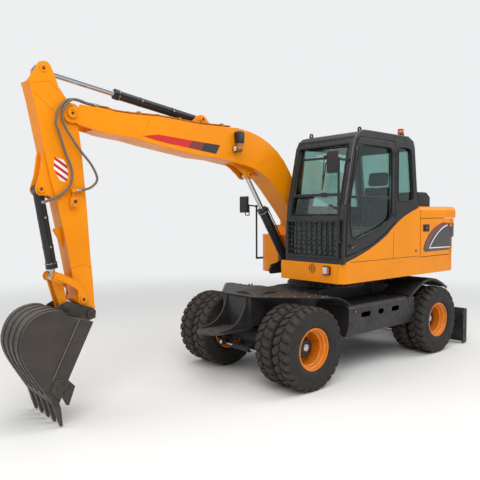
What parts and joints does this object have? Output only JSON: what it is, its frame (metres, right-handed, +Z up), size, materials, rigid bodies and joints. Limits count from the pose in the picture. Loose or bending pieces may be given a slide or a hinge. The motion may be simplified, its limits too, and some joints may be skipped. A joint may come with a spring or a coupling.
{
  "type": "wheeled excavator",
  "caption": "Compact wheeled excavator on twin tyres: slewing upper with glazed cab and engine hood, curved boom, dipper arm and bucket, dozer blade at the back",
  "frame": {"origin": "on the ground, below the middle of the whole machine's box", "axes": "+X to the front, where the bucket is; +Y to the left; +Z up"},
  "size_m": [5.836, 1.9135, 3.124],
  "materials": {
    "orange_paint": "gloss",
    "black_paint": "satin",
    "dark_steel": "satin",
    "bright_rod": "polished",
    "tyre_rubber": "matte",
    "engine_iron": "matte",
    "black_plastic": "matte",
    "window_glass": "polished",
    "seat_fabric": "matte",
    "bucket_steel": "matte",
    "hose_rubber": "matte"
  },
  "bodies": {
    "chassis": {"chassis_frame": "black_paint", "front_bracket": "black_paint", "front_fenders": "black_paint", "rear_fenders": "black_paint", "tool_boxes": "dark_steel", "swing_bearing": "dark_steel", "front_axle": "black_paint", "rear_axle": "black_paint", "drive_line": "dark_steel"},
    "left_knuckle": {"knuckle_left": "dark_steel"},
    "right_knuckle": {"knuckle_right": "dark_steel"},
    "steering_rod": {"steer_rod": "bright_rod"},
    "front_left_wheel": {"tyres_fl": "tyre_rubber", "wheel_fl": "orange_paint"},
    "front_right_wheel": {"tyres_fr": "tyre_rubber", "wheel_fr": "orange_paint"},
    "rear_left_wheel": {"tyres_rl": "tyre_rubber", "wheel_rl": "orange_paint"},
    "rear_right_wheel": {"tyres_rr": "tyre_rubber", "wheel_rr": "orange_paint"},
    "blade": {"dozer_blade": "black_paint"},
    "blade_cylinder": {"blade_barrel": "black_paint"},
    "blade_piston": {"blade_rod": "bright_rod"},
    "upper": {"upper_frame": "black_paint", "skirt": "orange_paint", "side_panel": "orange_paint", "counterweight": "orange_paint", "engine_block": "engine_iron", "right_body": "orange_paint", "cab_shell": "black_paint", "cab_glass": "window_glass", "cab_interior": "black_plastic", "seat_cushions": "seat_fabric", "window_guard": "black_paint", "work_lamps": "black_plastic", "rails_mirrors": "black_paint"},
    "hood": {"engine_hood": "orange_paint", "intake_box": "black_plastic"},
    "left_bay_door": {"left_door": "orange_paint"},
    "right_bay_door": {"right_door": "orange_paint"},
    "driver_door": {"cab_door": "black_paint", "door_glass": "window_glass"},
    "boom_arm": {"boom": "orange_paint", "boom_pipes": "orange_paint", "arm_hoses": "hose_rubber"},
    "lift_cylinder": {"boom_barrel": "black_paint"},
    "lift_piston": {"boom_rod": "bright_rod"},
    "dipper": {"arm": "orange_paint"},
    "crowd_cylinder": {"arm_barrel": "black_paint"},
    "crowd_piston": {"arm_rod": "bright_rod"},
    "curl_cylinder": {"bucket_barrel": "black_paint"},
    "curl_piston": {"bucket_rod": "bright_rod"},
    "rocker_arms": {"rocker": "orange_paint"},
    "link_plates": {"bucket_link": "orange_paint"},
    "digging_bucket": {"bucket": "bucket_steel"}
  },
  "joints": [
    {"name": "slew", "type": "hinge", "parent": "chassis", "child": "upper", "pos_m": [-0.93, 0, 0.995], "axis": [0, 0, 1], "continuous": true},
    {"name": "boom_lift", "type": "hinge", "parent": "upper", "child": "boom_arm", "pos_m": [-0.8, -0.2, 1.33], "axis": [0, -1, 0], "range_deg": [-50, 36]},
    {"name": "arm_crowd", "type": "hinge", "parent": "boom_arm", "child": "dipper", "pos_m": [2.37, -0.2, 2.705], "axis": [0, -1, 0], "range_deg": [-30, 86], "deforming": ["arm_hoses"]},
    {"name": "bucket_curl", "type": "hinge", "parent": "dipper", "child": "digging_bucket", "pos_m": [2.23, -0.2, 0.905], "axis": [0, 1, 0], "range_deg": [-5, 150]},
    {"name": "blade_lift", "type": "hinge", "parent": "chassis", "child": "blade", "pos_m": [-2.33, 0, 0.42], "axis": [0, 1, 0], "range_deg": [-6, 22]},
    {"name": "steer_left", "type": "hinge", "parent": "chassis", "child": "left_knuckle", "pos_m": [0.27, 0.372, 0.43], "axis": [0, 0, 1], "range_deg": [-25, 25]},
    {"name": "steer_right", "type": "hinge", "parent": "chassis", "child": "right_knuckle", "pos_m": [0.27, -0.372, 0.43], "axis": [0, 0, 1], "range_deg": [-25, 25]},
    {"name": "steer_slide", "type": "slide", "parent": "chassis", "child": "steering_rod", "axis": [0, 1, 0], "range_m": [-0.09, 0.09]},
    {"name": "front_left_spin", "type": "hinge", "parent": "left_knuckle", "child": "front_left_wheel", "pos_m": [0.27, 0.6725, 0.43], "axis": [0, 1, 0], "continuous": true},
    {"name": "front_right_spin", "type": "hinge", "parent": "right_knuckle", "child": "front_right_wheel", "pos_m": [0.27, -0.6725, 0.43], "axis": [0, 1, 0], "continuous": true},
    {"name": "rear_left_spin", "type": "hinge", "parent": "chassis", "child": "rear_left_wheel", "pos_m": [-2.13, 0.6725, 0.43], "axis": [0, 1, 0], "continuous": true},
    {"name": "rear_right_spin", "type": "hinge", "parent": "chassis", "child": "rear_right_wheel", "pos_m": [-2.13, -0.6725, 0.43], "axis": [0, 1, 0], "continuous": true},
    {"name": "hood_lid", "type": "hinge", "parent": "upper", "child": "hood", "pos_m": [-1.622, 0, 1.881], "axis": [0, 1, 0], "range_deg": [0, 60]},
    {"name": "left_bay_hinge", "type": "hinge", "parent": "upper", "child": "left_bay_door", "pos_m": [-2.355, 0.928, 1.5], "axis": [0, 0, 1], "range_deg": [0, 100]},
    {"name": "right_bay_hinge", "type": "hinge", "parent": "upper", "child": "right_bay_door", "pos_m": [-2.355, -0.928, 1.5], "axis": [0, 0, -1], "range_deg": [0, 100]},
    {"name": "driver_door_hinge", "type": "hinge", "parent": "upper", "child": "driver_door", "pos_m": [-1.095, 0.928, 2], "axis": [0, 0, 1], "range_deg": [0, 170]},
    {"name": "lift_cylinder_pin", "type": "hinge", "parent": "upper", "child": "lift_cylinder", "pos_m": [-0.48, -0.2, 1.15], "axis": [0, -1, 0], "range_deg": [-53, 38.5]},
    {"name": "lift_stroke", "type": "slide", "parent": "lift_cylinder", "child": "lift_piston", "axis": [0.5408, 0, 0.8411], "range_m": [-0.292, 0.211]},
    {"name": "crowd_cylinder_pin", "type": "hinge", "parent": "boom_arm", "child": "crowd_cylinder", "pos_m": [0.91, -0.2, 2.81], "axis": [0, -1, 0], "range_deg": [-3, 7]},
    {"name": "crowd_stroke", "type": "slide", "parent": "crowd_cylinder", "child": "crowd_piston", "axis": [0.9891, 0, 0.147], "range_m": [-0.56, 0.2]},
    {"name": "curl_cylinder_pin", "type": "hinge", "parent": "dipper", "child": "curl_cylinder", "pos_m": [2.645, -0.2, 2.03], "axis": [0, -1, 0], "range_deg": [-1, 2]},
    {"name": "curl_stroke", "type": "slide", "parent": "curl_cylinder", "child": "curl_piston", "axis": [-0.1598, 0, -0.9871], "range_m": [-0.02, 0.585]},
    {"name": "rocker_pivot", "type": "hinge", "parent": "dipper", "child": "rocker_arms", "pos_m": [2.308, -0.2, 1.05], "axis": [0, 1, 0], "range_deg": [-6, 137]},
    {"name": "link_pivot", "type": "hinge", "parent": "digging_bucket", "child": "link_plates", "pos_m": [2.455, -0.2, 0.985], "axis": [0, -1, 0], "range_deg": [-4, 82]},
    {"name": "blade_cylinder_pin", "type": "hinge", "parent": "chassis", "child": "blade_cylinder", "pos_m": [-2.41, 0, 0.8], "axis": [0, 1, 0], "range_deg": [-4, 14]},
    {"name": "blade_stroke", "type": "slide", "parent": "blade_cylinder", "child": "blade_piston", "axis": [-0.6186, 0, -0.7857], "range_m": [-0.125, 0.035]}
  ],
  "couplings": [
    {"joint": "steer_right", "follows": "steer_left", "ratio": 1},
    {"joint": "steer_slide", "follows": "steer_left", "m_per_rad": 0.2},
    {"joint": "lift_cylinder_pin", "follows": "boom_lift", "ratio": 1.05},
    {"joint": "lift_stroke", "follows": "boom_lift", "m_per_rad": 0.33},
    {"joint": "crowd_cylinder_pin", "follows": "arm_crowd", "ratio": 0.07},
    {"joint": "crowd_stroke", "follows": "arm_crowd", "m_per_rad": -0.37},
    {"joint": "curl_cylinder_pin", "follows": "bucket_curl", "ratio": 0.01},
    {"joint": "curl_stroke", "follows": "bucket_curl", "m_per_rad": 0.223},
    {"joint": "rocker_pivot", "follows": "bucket_curl", "ratio": 0.9},
    {"joint": "link_pivot", "follows": "bucket_curl", "ratio": 0.54},
    {"joint": "blade_cylinder_pin", "follows": "blade_lift", "ratio": 0.59},
    {"joint": "blade_stroke", "follows": "blade_lift", "m_per_rad": -0.32}
  ]
}
